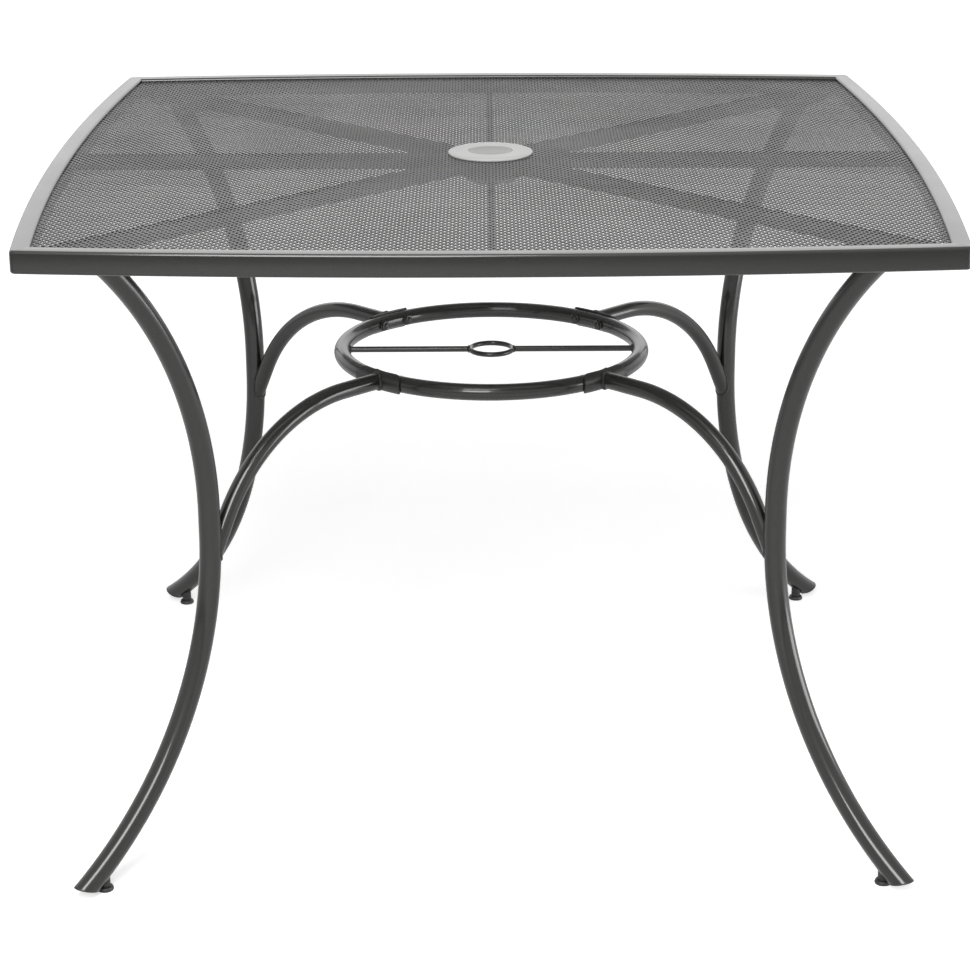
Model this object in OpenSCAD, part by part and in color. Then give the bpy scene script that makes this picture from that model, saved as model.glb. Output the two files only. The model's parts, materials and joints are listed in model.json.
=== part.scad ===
// Square garden table with a bowed rim, an expanded metal top, four bent tube legs and a braced hoop.
// Origin on the floor under the centre of the top, +Z up, front of the table towards -Y.

/* [Top] */
// Length of each side of the top, from corner to corner
side_len = 954; // [860:1:1100]
// How far the middle of each side bows outwards
side_bow = 23; // [10:1:40]
// Height of the rim's top face above the floor
table_h = 730; // [715:1:750]
// Radius of the outer corners of the rim
corner_r = 6; // [3:0.5:9]
// Width of a rim rail, seen from above
rail_w = 20; // [16:0.5:28]
// Height of a rim rail
rail_h = 24; // [22.5:0.5:32]
// Rounding of a rim rail's long edges
rail_edge_r = 3; // [1.5:0.25:3.5]
// Wall of a rim rail
rail_wall = 1.5; // [1.2:0.1:2]
// Thickness of the plate that closes each mitred end of a rim rail
rail_end_plate = 8; // [7:0.5:12]

/* [Expanded metal] */
// Depth of the mesh below the top of the rim
mesh_drop = 4; // [3.8:0.1:4.8]
// Thickness of the mesh sheet
mesh_t = 1.5; // [1:0.1:2]
// Width of one diamond of the drawn mesh, left to right
mesh_pitch_x = 62; // [58:1:90]
// Length of one diamond of the drawn mesh, front to back
mesh_pitch_y = 94; // [90:1:130]
// Width of a strand of the drawn mesh
strand_w = 13; // [8:0.5:18]
// Width of the closed edge of the mesh along the rim
mesh_edge = 5; // [4:0.5:12]

/* [Bars under the mesh] */
// Width of a diagonal bar or a cross bar
bar_w = 16; // [14.5:0.5:20]
// Height of a diagonal bar or a cross bar
bar_h = 15; // [13:0.5:16]
// Wall of the bars
bar_wall = 1.2; // [1:0.1:1.6]
// Diameter of the front and back stiffener rods
stiffener_d = 5; // [4:0.5:8]
// Outer diameter of the hub collar
hub_d = 80; // [76:1:92]

/* [Parasol passage] */
// Diameter of the pole bore
bore_d = 42; // [36:0.5:43]
// Length of the pole bore below the plug
bore_len = 22; // [18:0.5:30]
// Outer diameter of the flange disc
flange_d = 98; // [90:1:110]
// Thickness of the flange disc on the mesh
flange_t = 3.6; // [3:0.1:3.7]
// Outer diameter of the flange's sleeve
sleeve_d = 56; // [55:0.5:60]
// Height of the ring nut under the hub
ring_nut_h = 8; // [6:0.5:10]
// Outer diameter of the ring nut
ring_nut_d = 74; // [70:1:84]
// Diameter of the plug's cap
plug_d = 50.5; // [50:0.25:51]
// Thickness of the plug's cap
plug_cap_t = 2; // [1.5:0.1:2.5]
// Outer diameter of the plug's skirt
plug_skirt_d = 46; // [45:0.25:47]
// Length of the plug's skirt
plug_skirt_len = 10; // [8:0.5:12]

/* [Legs] */
// Diameter of the leg tube
leg_d = 24; // [22:0.5:26]
// Wall of the leg tube
leg_wall = 1.5; // [1.2:0.1:2]
// Distance of a leg's upright stretch from the table's centre line
leg_rho = 437; // [430:1:445]
// Height at which a leg starts to bend outwards on the way down
leg_low_z = 370; // [366:1:376]
// Radius of a leg's lower bend
leg_low_r = 435; // [430:1:445]
// Height at which a leg starts to bend outwards on the way up
leg_up_z = 395; // [385:1:410]
// Distance of a leg's upper end from the corner of the top, along the diagonal
leg_top_in = 102.8; // [98:0.1:108]
// Height of the lowest edge of a leg's cut end
leg_end_z = 6; // [5:0.25:7]
// Slope of a leg's cut end above the horizontal, in degrees
leg_end_slope = 20; // [16:1:26]
// Thickness of the end cap's outer rim
cap_t = 2; // [1.2:0.1:2.4]
// Depth of the end cap's plug inside the tube
cap_plug = 4; // [2:0.25:4.5]

/* [Leg mounting] */
// Thickness of a leg's mounting plate
plate_t = 4; // [3:0.5:5]
// Width of a leg's mounting plate
plate_w = 30; // [26:1:34]
// Distance between the two bolts of a leg
leg_bolt_span = 72; // [68:1:80]
// Diameter of the leg bolts
leg_bolt_d = 6; // [5:0.5:6.5]
// Width across the flats of the leg bolts' heads and nuts
leg_bolt_af = 10; // [9:0.5:11]

/* [Hoop and braces] */
// Height of the hoop's centre line above the floor
hoop_z = 490; // [484:1:500]
// Radius of the hoop's centre line
hoop_r = 177; // [165:1:185]
// Diameter of the hoop tube and of the brace tubes
hoop_tube_d = 19; // [18:0.5:20]
// Wall of the hoop tube and of the brace tubes
hoop_wall = 1.5; // [1.2:0.1:2]
// Radius of a brace's bend
brace_r = 200; // [190:1:205]
// Distance between a brace's bend, carried on to the upright, and the leg's axis
brace_short = 4; // [3:0.5:5]
// Thickness of a saddle's sheet
saddle_t = 2.5; // [2:0.1:3]
// Length of a saddle along the hoop
saddle_len = 72; // [66:1:80]
// Angle that a saddle's sheet wraps above and below the hoop's middle
saddle_wrap = 80; // [70:1:84]
// Distance between the two studs of a saddle, along the hoop's centre line
stud_span = 42; // [38:1:46]
// Diameter of the saddle studs
stud_d = 6; // [5:0.5:6.5]
// Diameter of a cap nut's flange
cap_nut_d = 13; // [12:0.5:14]
// Width across the flats of a cap nut
cap_nut_af = 10; // [9.5:0.25:10.5]

/* [Pole guide] */
// Diameter of the two rods inside the hoop
cross_rod_d = 7; // [6:0.5:8]
// Inner diameter of the guide ring
guide_d = 44; // [43.5:0.5:50]
// Diameter of the guide ring's wire
guide_wire_d = 6; // [5:0.5:8]

/* [Levelling feet] */
// Distance of a foot inwards from the lowest edge of the leg's cut end
foot_in = 9.55; // [7.5:0.05:11.5]
// Diameter of a foot's pad
pad_d = 19; // [17:0.5:21]
// Height of a foot's pad
pad_h = 5; // [4:0.25:5.5]
// Diameter of a foot's stud
foot_stud_d = 8; // [6:0.5:8]
// Outer diameter of the threaded bush in the leg
bush_d = 12; // [11:0.5:13]

/* [Clearances] */
// Radial clearance of the plug in the flange
plug_gap = 0.3; // [0.2:0.05:0.5]
// Radial clearance of every thread and of the caps in the legs
thread_gap = 0.05; // [0.02:0.01:0.08]
// Radial clearance of the bolts and studs in their drilled holes
bolt_gap = 0.3; // [0.2:0.05:0.5]
// Radial clearance of the flange's sleeve in the mesh and the hub
sleeve_gap = 0.5; // [0.3:0.05:1]
// Gap between a seat and the piece that rests on a curved face
seat_gap = 0.2; // [0.1:0.05:0.3]

/* [Hidden] */
CORNERS = ["front_left", "front_right", "back_right", "back_left"];
CORNER_TURN = [225, 315, 45, 135];
SIDES = ["right", "back", "left", "front"];
SIDE_TURN = [0, 90, 180, 270];

// Faces of a full turn on the large rim arcs, on tubes, on small rounds and on a rim rail's long edges
arc_fn = 1440;
tube_fn = 48;
bend_fn = 240;
edge_flats = 20;
$fn = tube_fn;

// Overlap that keeps a cut clear of the face it starts from
eps = 1;

// How far the rim's cutting wedges reach past its corners, and its arcs past a side's ends in degrees
rim_spare = 20;
arc_spare = 2;

// Rim: each side is an arc whose centre lies beyond the opposite side
half_side = side_len / 2;
half_width = half_side + side_bow;
side_r = (half_side * half_side + side_bow * side_bow) / (2 * side_bow);
side_c = side_r - half_width;
side_half_angle = asin(half_side / side_r);
rim_in_r = side_r - rail_w;
rail_z = table_h - rail_h;
corner_reach = half_side * sqrt(2) + rim_spare;

// The corner rounding is a circle that touches both rim arcs from inside
corner_c = (sqrt(2 * pow(side_r - corner_r, 2) - side_c * side_c) - side_c) / 2;
corner_touch = atan2(corner_c, corner_c + side_c);

// Stack under the rim's top face
mesh_z = table_h - mesh_drop - mesh_t;
bar_z = mesh_z - bar_h;
plate_z = bar_z - plate_t;

// Parasol passage
flange_top_z = mesh_z + mesh_t + flange_t;
plug_seat_d = plug_d + 2 * plug_gap;
plug_sunk = 0.4;
plug_seat_z = flange_top_z - plug_sunk - plug_cap_t;
counterbore_d = plug_skirt_d + 2 * plug_gap;
counterbore_z = plug_seat_z - plug_skirt_len - plug_gap;
sleeve_z = counterbore_z - bore_len;
sleeve_hole_d = sleeve_d + 2 * sleeve_gap;
plug_skirt_wall = 1.5;
flange_edge_r = 1.5;

// Leg centre line, drawn in the upright plane through the table's centre line and the corner
leg_r = leg_d / 2;
leg_bore_r = leg_r - leg_wall;
leg_low_c = leg_rho + leg_low_r;
// The upper bend leads from the upright stretch to the mounting plate, and is swept just past it
leg_top_rho = half_side * sqrt(2) - leg_top_in;
leg_up_rise = plate_z - leg_up_z;
leg_up_run = leg_top_rho - leg_rho;
leg_up_r = (leg_up_rise * leg_up_rise + leg_up_run * leg_up_run) / (2 * leg_up_run);
leg_up_c = leg_rho + leg_up_r;
leg_up_sweep = asin((leg_up_rise + eps) / (leg_up_r - leg_r));
leg_low_outer_r = leg_low_r + leg_r;
leg_end_angle = asin((leg_low_z - leg_end_z) / leg_low_outer_r);
leg_end_rho = leg_low_c - leg_low_outer_r * cos(leg_end_angle);
// Degrees by which the lower bend is swept past the cut
leg_end_spare = 8;
leg_low_sweep = leg_end_angle + leg_end_spare;

// Leg mounting
leg_bolt_rhos = [leg_top_rho - leg_bolt_span / 2, leg_top_rho + leg_bolt_span / 2];
bolt_head_h = 4;
bolt_nut_h = 5;
bolt_tail = 2;

// Hoop, saddles and braces
hoop_tube_r = hoop_tube_d / 2;
hoop_bore_r = hoop_tube_r - hoop_wall;
saddle_out_r = hoop_tube_r + saddle_t;
saddle_angle = saddle_len / (hoop_r + hoop_tube_r) * 180 / PI;
stud_angle = stud_span / hoop_r * 180 / PI;
brace_c = leg_rho - brace_short - brace_r;
brace_z = hoop_z - brace_r;
brace_meet = acos((leg_rho - leg_r - brace_c) / brace_r);
// Degrees by which a brace is swept into the leg before it is cut, and how far up the cut follows the leg
brace_spare = 2.5;
cope_rise = 8;
brace_end = brace_meet - brace_spare;
cope_z = brace_z + brace_r * sin(brace_meet) + cope_rise;
cope_drop = max(0, leg_low_z - cope_z);
cope_tilt = asin(cope_drop / leg_low_r);
cope_rho = leg_low_c - sqrt(pow(leg_low_r, 2) - pow(cope_drop, 2));
cap_nut_seat = hoop_r - hoop_tube_r - seat_gap;
cap_nut_flange_t = 1.5;
cap_nut_hex_h = 1.5;
cap_nut_dome_h = 3;
cap_nut_dome_inset = 0.3;
stud_tail = 2.5;

// Pole guide
guide_r = (guide_d + guide_wire_d) / 2;

// Levelling feet
foot_rho = leg_end_rho - foot_in;
foot_tube_z = leg_low_z - sqrt(pow(leg_low_r, 2) - pow(leg_low_c - foot_rho, 2));
bush_z = pad_h + seat_gap;
bush_inside = 5;
bush_top_z = foot_tube_z + bush_inside;
foot_stud_r = foot_stud_d / 2;
foot_stud_z = 1.6;
foot_stud_sunk = 3;
foot_stud_top_z = bush_top_z - foot_stud_sunk;
foot_chamfer = 0.8;

// Sections

module round_corner(r)
{
    polygon([for (i = [0:edge_flats - 1]) r * [cos(i * 360 / edge_flats), sin(i * 360 / edge_flats)]]);
}

module rounded_section(w, h, r)
{
    translate([0, r]) square([w, h - 2 * r]);
    translate([r, 0]) square([w - 2 * r, h]);
    for (x = [r, w - r], y = [r, h - r]) translate([x, y]) round_corner(r);
}

module tube_section(outer_r, inner_r)
{
    difference()
    {
        circle(outer_r);
        if (inner_r > 0) circle(inner_r);
    }
}

// Rim rails, drawn for the right-hand side

module rail_sweep(inset)
{
    sweep = 2 * side_half_angle + arc_spare;
    translate([-side_c, 0, rail_z + inset])
        rotate([0, 0, -sweep / 2])
        rotate_extrude(angle = sweep, $fn = arc_fn)
        translate([side_r - rail_w + inset, 0])
        children();
}

module rail_body()
{
    rail_sweep(0) rounded_section(rail_w, rail_h, rail_edge_r, $fn = tube_fn);
}

module rail_hollow()
{
    rail_sweep(rail_wall) square([rail_w - 2 * rail_wall, rail_h - 2 * rail_wall]);
}

module mitre_wedge(setback)
{
    translate([setback, 0, rail_z - eps])
        linear_extrude(rail_h + 2 * eps)
        polygon([[0, 0], [corner_reach, -corner_reach], [corner_reach, corner_reach]]);
}

module corner_nibble()
{
    out = 4 * corner_r;
    translate([0, 0, rail_z - eps])
        linear_extrude(rail_h + 2 * eps)
        difference()
        {
            polygon([
                [corner_c, corner_c],
                [corner_c + out * cos(corner_touch), corner_c + out * sin(corner_touch)],
                [corner_c + 2 * out, corner_c + 2 * out],
                [corner_c + out * sin(corner_touch), corner_c + out * cos(corner_touch)]
            ]);
            translate([corner_c, corner_c]) circle(corner_r);
        }
}

module rim_rail()
{
    color("#5b5b57")
        difference()
        {
            intersection()
            {
                rail_body();
                mitre_wedge(0);
            }
            intersection()
            {
                rail_hollow();
                mitre_wedge(rail_end_plate * sqrt(2));
            }
            corner_nibble();
            mirror([0, 1, 0]) corner_nibble();
        }
}

// Expanded metal, with as many diamonds as a light solid can hold

module inner_outline(inset)
{
    intersection_for (t = SIDE_TURN)
        rotate([0, 0, t]) translate([-side_c, 0]) circle(rim_in_r - inset, $fn = arc_fn);
}

// Distance from a point to the rim's inner face on the side that is turned to +X
function rim_gap(x, y) = rim_in_r - norm([x + side_c, y]);

function mesh_margin(x, y) = min(rim_gap(x, y), rim_gap(-x, y), rim_gap(y, x), rim_gap(-y, x));

module mesh_diamond()
{
    // Half diagonals left open when every strand is strand_w wide
    slope = norm([mesh_pitch_x, mesh_pitch_y]);
    half_x = mesh_pitch_x / 2 - strand_w * slope / mesh_pitch_y / 2;
    half_y = mesh_pitch_y / 2 - strand_w * slope / mesh_pitch_x / 2;
    polygon([[half_x, 0], [0, half_y], [-half_x, 0], [0, -half_y]]);
}

// A diamond is cut where its middle lies inside the closed edge and outside the hub
function diamond_fits(x, y) = mesh_margin(x, y) > mesh_edge && norm([x, y]) > hub_d / 2;

module diamonds()
{
    columns = ceil(half_width / mesh_pitch_x);
    rows = ceil(half_width / mesh_pitch_y * 2);
    for (row = [-rows:rows], column = [-columns:columns])
    {
        x = (column + (row % 2 == 0 ? 0 : 0.5)) * mesh_pitch_x;
        y = row * mesh_pitch_y / 2;
        if (diamond_fits(x, y)) translate([x, y]) mesh_diamond();
    }
}

module mesh_top()
{
    color("#77777a")
        translate([0, 0, mesh_z])
        linear_extrude(mesh_t)
        difference()
        {
            inner_outline(0);
            circle(d = sleeve_hole_d);
            difference()
            {
                intersection()
                {
                    inner_outline(mesh_edge);
                    diamonds();
                }
                circle(d = hub_d, $fn = bend_fn);
            }
        }
}

// Bars under the mesh, drawn along +X from the hub to the rim

module hub_collar()
{
    color("#4c4c49")
        translate([0, 0, bar_z])
        difference()
        {
            cylinder(h = bar_h, d = hub_d, $fn = bend_fn);
            translate([0, 0, -eps]) cylinder(h = bar_h + 2 * eps, d = sleeve_hole_d, $fn = bend_fn);
        }
}

module inside_side(turn)
{
    rotate([0, 0, turn])
        translate([-side_c, 0, bar_z - eps])
        cylinder(h = bar_h + 2 * eps, r = rim_in_r, $fn = arc_fn);
}

module hub_cut()
{
    translate([0, 0, bar_z - eps]) cylinder(h = bar_h + 2 * eps, d = hub_d, $fn = bend_fn);
}

module square_bar(length)
{
    difference()
    {
        translate([0, -bar_w / 2, bar_z]) cube([length, bar_w, bar_h]);
        translate([-eps, bar_wall - bar_w / 2, bar_z + bar_wall])
            cube([length + 2 * eps, bar_w - 2 * bar_wall, bar_h - 2 * bar_wall]);
    }
}

module diagonal_bar()
{
    color("#4c4c49")
        difference()
        {
            intersection()
            {
                square_bar(corner_reach);
                inside_side(45);
                inside_side(-45);
            }
            hub_cut();
            for (x = leg_bolt_rhos)
                translate([x, 0, bar_z - eps])
                cylinder(h = bar_wall + 2 * eps, d = leg_bolt_d + 2 * bolt_gap);
        }
}

module cross_bar()
{
    color("#4c4c49")
        difference()
        {
            intersection()
            {
                square_bar(half_width);
                inside_side(0);
            }
            hub_cut();
        }
}

module stiffener_rod()
{
    color("#4c4c49")
        difference()
        {
            intersection()
            {
                translate([0, 0, mesh_z - stiffener_d / 2])
                    rotate([0, 90, 0]) cylinder(h = half_width, d = stiffener_d);
                inside_side(0);
            }
            hub_cut();
        }
}

// Parasol passage

module parasol_flange()
{
    color("#d4d4d2")
        rotate_extrude($fn = bend_fn)
        difference()
        {
            union()
            {
                translate([0, sleeve_z]) square([sleeve_d / 2, flange_top_z - sleeve_z]);
                translate([0, mesh_z + mesh_t]) square([flange_d / 2 - flange_edge_r, flange_t]);
                translate([0, mesh_z + mesh_t]) square([flange_d / 2, flange_t - flange_edge_r]);
                translate([flange_d / 2 - flange_edge_r, flange_top_z - flange_edge_r])
                    circle(flange_edge_r);
            }
            translate([0, sleeve_z - eps]) square([bore_d / 2, flange_top_z - sleeve_z + 2 * eps]);
            translate([0, counterbore_z]) square([counterbore_d / 2, flange_top_z - counterbore_z + eps]);
            translate([0, plug_seat_z]) square([plug_seat_d / 2, flange_top_z - plug_seat_z + eps]);
        }
}

module flange_ring_nut()
{
    grips = 8;
    grip_r = 5;
    color("#303030")
        translate([0, 0, bar_z - ring_nut_h])
        difference()
        {
            cylinder(h = ring_nut_h, d = ring_nut_d, $fn = bend_fn);
            translate([0, 0, -eps])
                cylinder(h = ring_nut_h + 2 * eps, d = sleeve_d + 2 * thread_gap, $fn = bend_fn);
            for (i = [0:grips - 1])
                rotate([0, 0, i * 360 / grips])
                    translate([ring_nut_d / 2 + grip_r / 2, 0, -eps])
                    cylinder(h = ring_nut_h + 2 * eps, r = grip_r);
        }
}

module parasol_plug()
{
    color("#bcbcba")
        rotate_extrude($fn = bend_fn)
        {
            translate([0, plug_seat_z]) square([plug_d / 2, plug_cap_t]);
            translate([plug_skirt_d / 2 - plug_skirt_wall, plug_seat_z - plug_skirt_len])
                square([plug_skirt_wall, plug_skirt_len + plug_cap_t / 2]);
        }
}

// Legs, drawn in the XZ plane with the corner towards +X

// A bend starts where the straight stretch ends and is swept away from it, up (-90) or down (90)
module bend(radius, way, sweep, outer_r, inner_r)
{
    rotate([way, 0, 0])
        rotate([0, 0, 180])
        rotate_extrude(angle = sweep, $fn = bend_fn)
        translate([radius, 0])
        tube_section(outer_r, inner_r, $fn = tube_fn);
}

module leg_low_bend(outer_r, inner_r)
{
    translate([leg_low_c, 0, leg_low_z]) bend(leg_low_r, 90, leg_low_sweep, outer_r, inner_r);
}

module leg_end_frame()
{
    translate([leg_end_rho, 0, leg_end_z]) rotate([0, -leg_end_slope, 0]) children();
}

module leg_end_slab(low, high)
{
    side = 8 * leg_d;
    leg_end_frame() translate([-side / 2, -side / 2, low]) cube([side, side, high - low]);
}

module leg()
{
    top_cut = 10 * leg_d;
    color("#50504c")
        difference()
        {
            union()
            {
                leg_low_bend(leg_r, leg_bore_r);
                translate([leg_rho, 0, leg_low_z])
                    rotate([0, 0, 180])
                    linear_extrude(leg_up_z - leg_low_z)
                    tube_section(leg_r, leg_bore_r);
                translate([leg_up_c, 0, leg_up_z])
                    bend(leg_up_r, -90, leg_up_sweep, leg_r, leg_bore_r);
            }
            leg_end_slab(-4 * leg_d, 0);
            translate([leg_top_rho - top_cut / 2, -top_cut / 2, plate_z]) cube(top_cut);
            translate([foot_rho, 0, 0]) cylinder(h = foot_tube_z, d = bush_d);
        }
}

module leg_plate()
{
    color("#50504c")
        translate([0, 0, plate_z])
        linear_extrude(plate_t)
        difference()
        {
            union()
            {
                translate([leg_bolt_rhos[0], -plate_w / 2]) square([leg_bolt_span, plate_w]);
                for (x = leg_bolt_rhos) translate([x, 0]) circle(d = plate_w);
            }
            for (x = leg_bolt_rhos) translate([x, 0]) circle(d = leg_bolt_d + 2 * bolt_gap);
        }
}

module hex_prism(height, flats)
{
    cylinder(h = height, d = flats / cos(30), $fn = 6);
}

module leg_bolt()
{
    translate([0, 0, plate_z - bolt_head_h]) hex_prism(bolt_head_h, leg_bolt_af);
    translate([0, 0, plate_z - bolt_head_h / 2])
        cylinder(h = bolt_head_h / 2 + plate_t + bar_wall + bolt_nut_h + bolt_tail, d = leg_bolt_d);
}

module leg_bolt_nut()
{
    translate([0, 0, bar_z + bar_wall])
        difference()
        {
            hex_prism(bolt_nut_h, leg_bolt_af);
            translate([0, 0, -eps]) cylinder(h = bolt_nut_h + 2 * eps, d = leg_bolt_d + 2 * thread_gap);
        }
}

module leg_bolts()
{
    color("#3a3a38")
        for (t = CORNER_TURN, x = leg_bolt_rhos) rotate([0, 0, t]) translate([x, 0, 0]) leg_bolt();
}

module leg_bolt_nuts()
{
    color("#9a9a9a")
        for (t = CORNER_TURN, x = leg_bolt_rhos) rotate([0, 0, t]) translate([x, 0, 0]) leg_bolt_nut();
}

module leg_end_cap()
{
    color("#2b2b2a")
    {
        intersection()
        {
            leg_low_bend(leg_r, 0);
            leg_end_slab(-cap_t, 0);
        }
        intersection()
        {
            leg_low_bend(leg_bore_r - thread_gap, 0);
            leg_end_slab(-cap_t / 2, cap_plug);
        }
    }
}

// Hoop, saddles and braces

module at_studs()
{
    for (a = [-stud_angle / 2, stud_angle / 2])
        rotate([0, 0, a]) translate([0, 0, hoop_z]) rotate([0, 90, 0]) children();
}

module hoop_ring()
{
    color("#50504c")
        difference()
        {
            translate([0, 0, hoop_z])
                rotate_extrude($fn = bend_fn)
                translate([hoop_r, 0])
                tube_section(hoop_tube_r, hoop_bore_r, $fn = tube_fn);
            for (t = CORNER_TURN)
                rotate([0, 0, t])
                    at_studs()
                    translate([0, 0, hoop_r - hoop_tube_d])
                    cylinder(h = 2 * hoop_tube_d, d = stud_d + 2 * bolt_gap);
        }
}

module saddle()
{
    wrap_x = saddle_out_r * cos(saddle_wrap);
    color("#464643")
        difference()
        {
            translate([0, 0, hoop_z])
                rotate([0, 0, -saddle_angle / 2])
                rotate_extrude(angle = saddle_angle, $fn = bend_fn)
                translate([hoop_r, 0])
                intersection()
                {
                    tube_section(saddle_out_r, hoop_tube_r, $fn = tube_fn);
                    translate([wrap_x, -saddle_out_r]) square([saddle_out_r, 2 * saddle_out_r]);
                }
            at_studs()
                translate([0, 0, hoop_r])
                cylinder(h = 2 * saddle_out_r, d = stud_d + 2 * thread_gap);
        }
}

module saddle_studs()
{
    inner_end = cap_nut_seat - cap_nut_flange_t - stud_tail;
    outer_end = hoop_r + saddle_out_r - saddle_t / 2;
    color("#9a9a9a")
        for (t = CORNER_TURN)
            rotate([0, 0, t])
                at_studs()
                translate([0, 0, inner_end])
                cylinder(h = outer_end - inner_end, d = stud_d);
}

module cap_nut()
{
    dome_z = -cap_nut_flange_t - cap_nut_hex_h;
    dome_r = (pow(cap_nut_af / 2, 2) + pow(cap_nut_dome_h, 2)) / (2 * cap_nut_dome_h);
    overlap = cap_nut_flange_t / 2;
    difference()
    {
        union()
        {
            translate([0, 0, -cap_nut_flange_t]) cylinder(h = cap_nut_flange_t, d = cap_nut_d);
            translate([0, 0, dome_z]) hex_prism(cap_nut_hex_h + overlap, cap_nut_af);
            intersection()
            {
                translate([0, 0, dome_z + dome_r - cap_nut_dome_h]) sphere(dome_r);
                translate([0, 0, dome_z - cap_nut_dome_h])
                    cylinder(h = cap_nut_dome_h + overlap, r = cap_nut_af / 2 - cap_nut_dome_inset);
            }
        }
        translate([0, 0, -cap_nut_flange_t - stud_tail - thread_gap])
            cylinder(h = cap_nut_flange_t + stud_tail + eps, d = stud_d + 2 * thread_gap);
    }
}

module saddle_cap_nuts()
{
    color("#34342f")
        for (t = CORNER_TURN)
            rotate([0, 0, t]) at_studs() translate([0, 0, cap_nut_seat]) cap_nut();
}

module brace_tube()
{
    translate([brace_c, 0, hoop_z])
        rotate([0, -90, 0])
        linear_extrude(brace_c - hoop_r)
        tube_section(hoop_tube_r, hoop_bore_r);
    // The bend is swept from the level stretch down to the leg
    translate([brace_c, 0, brace_z])
        rotate([-90, 0, 0])
        rotate([0, 0, -90])
        rotate_extrude(angle = 90 - brace_end, $fn = bend_fn)
        translate([brace_r, 0])
        tube_section(hoop_tube_r, hoop_bore_r, $fn = tube_fn);
}

module brace()
{
    color("#50504c")
        difference()
        {
            brace_tube();
            translate([0, 0, hoop_z])
                rotate([0, 0, -saddle_angle / 2])
                rotate_extrude(angle = saddle_angle, $fn = bend_fn)
                translate([hoop_r, 0])
                circle(saddle_out_r, $fn = tube_fn);
            translate([cope_rho, 0, cope_z])
                rotate([0, -cope_tilt, 0])
                translate([0, 0, -4 * leg_d])
                cylinder(h = 8 * leg_d, r = leg_r);
        }
}

// Pole guide inside the hoop

module cross_rod()
{
    start = guide_r + guide_wire_d / 2;
    color("#50504c")
        translate([start, 0, hoop_z])
        rotate([0, 90, 0])
        cylinder(h = hoop_r - hoop_tube_r - start, d = cross_rod_d);
}

module pole_guide_ring()
{
    color("#50504c")
        translate([0, 0, hoop_z])
        rotate_extrude($fn = bend_fn)
        translate([guide_r, 0])
        circle(d = guide_wire_d);
}

// Levelling feet

module foot_bush()
{
    color("#2b2b2a")
        translate([foot_rho, 0, bush_z])
        difference()
        {
            cylinder(h = bush_top_z - bush_z, d = bush_d);
            translate([0, 0, -eps])
                cylinder(h = bush_top_z - bush_z + 2 * eps, r = foot_stud_r + thread_gap);
        }
}

module foot_pad()
{
    color("#1f1f1e")
        translate([foot_rho, 0, 0])
        difference()
        {
            union()
            {
                cylinder(h = pad_h - foot_chamfer, d = pad_d);
                translate([0, 0, pad_h - foot_chamfer])
                    cylinder(h = foot_chamfer, d1 = pad_d, d2 = pad_d - 2 * foot_chamfer);
            }
            translate([0, 0, foot_stud_z - thread_gap]) cylinder(h = pad_h, r = foot_stud_r + thread_gap);
        }
}

module foot_stud()
{
    color("#9a9a9a")
        translate([foot_rho, 0, foot_stud_z])
        cylinder(h = foot_stud_top_z - foot_stud_z, r = foot_stud_r);
}

// One piece of each kind for every corner or side

module at_corner(i)
{
    rotate([0, 0, CORNER_TURN[i]]) children();
}

module at_side(i)
{
    rotate([0, 0, SIDE_TURN[i]]) children();
}

for (i = [0:3]) at_side(i) rim_rail();
mesh_top();
hub_collar();
for (i = [0:3]) at_corner(i) diagonal_bar();
cross_bar();  // cross_bar_right
rotate([0, 0, 180]) cross_bar();  // cross_bar_left
rotate([0, 0, 90]) stiffener_rod();  // stiffener_rod_back
rotate([0, 0, 270]) stiffener_rod();  // stiffener_rod_front
parasol_flange();
flange_ring_nut();
parasol_plug();
for (i = [0:3]) at_corner(i) leg();
for (i = [0:3]) at_corner(i) leg_plate();
leg_bolts();
leg_bolt_nuts();
for (i = [0:3]) at_corner(i) leg_end_cap();
hoop_ring();
for (i = [0:3]) at_corner(i) brace();
for (i = [0:3]) at_corner(i) saddle();
saddle_studs();
saddle_cap_nuts();
cross_rod();  // cross_rod_right
rotate([0, 0, 180]) cross_rod();  // cross_rod_left
pole_guide_ring();
for (i = [0:3]) at_corner(i) foot_bush();
for (i = [0:3]) at_corner(i) foot_pad();
for (i = [0:3]) at_corner(i) foot_stud();
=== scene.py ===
"""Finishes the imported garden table: fine expanded metal, bent tubes, welds, paint, lamps and camera."""
import json
import math

import bmesh
import bpy
from mathutils import Matrix, Vector


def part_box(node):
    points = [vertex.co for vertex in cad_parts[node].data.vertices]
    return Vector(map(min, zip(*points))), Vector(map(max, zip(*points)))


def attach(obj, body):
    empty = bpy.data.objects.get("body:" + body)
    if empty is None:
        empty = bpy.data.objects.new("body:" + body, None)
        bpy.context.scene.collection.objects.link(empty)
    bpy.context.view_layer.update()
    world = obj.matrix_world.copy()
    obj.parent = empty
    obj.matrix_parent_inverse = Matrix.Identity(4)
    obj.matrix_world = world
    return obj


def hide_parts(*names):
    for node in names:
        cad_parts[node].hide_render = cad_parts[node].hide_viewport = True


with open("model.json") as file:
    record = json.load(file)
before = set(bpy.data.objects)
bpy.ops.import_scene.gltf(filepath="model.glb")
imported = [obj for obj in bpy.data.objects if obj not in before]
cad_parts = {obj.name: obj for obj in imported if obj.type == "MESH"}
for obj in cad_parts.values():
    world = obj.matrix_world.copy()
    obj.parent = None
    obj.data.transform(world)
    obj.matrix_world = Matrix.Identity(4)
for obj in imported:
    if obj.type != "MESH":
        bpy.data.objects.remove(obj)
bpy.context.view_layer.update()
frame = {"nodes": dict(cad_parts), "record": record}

bl_info = {
    "name": "Garden table finish",
    "version": (1, 0, 0),
    "blender": (4, 5, 0),
    "location": "3D View > Sidebar > Table",
    "description": "Rebuilds the visible surfaces of a square mesh-top garden table over its CAD frame",
    "category": "Object",
}

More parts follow.
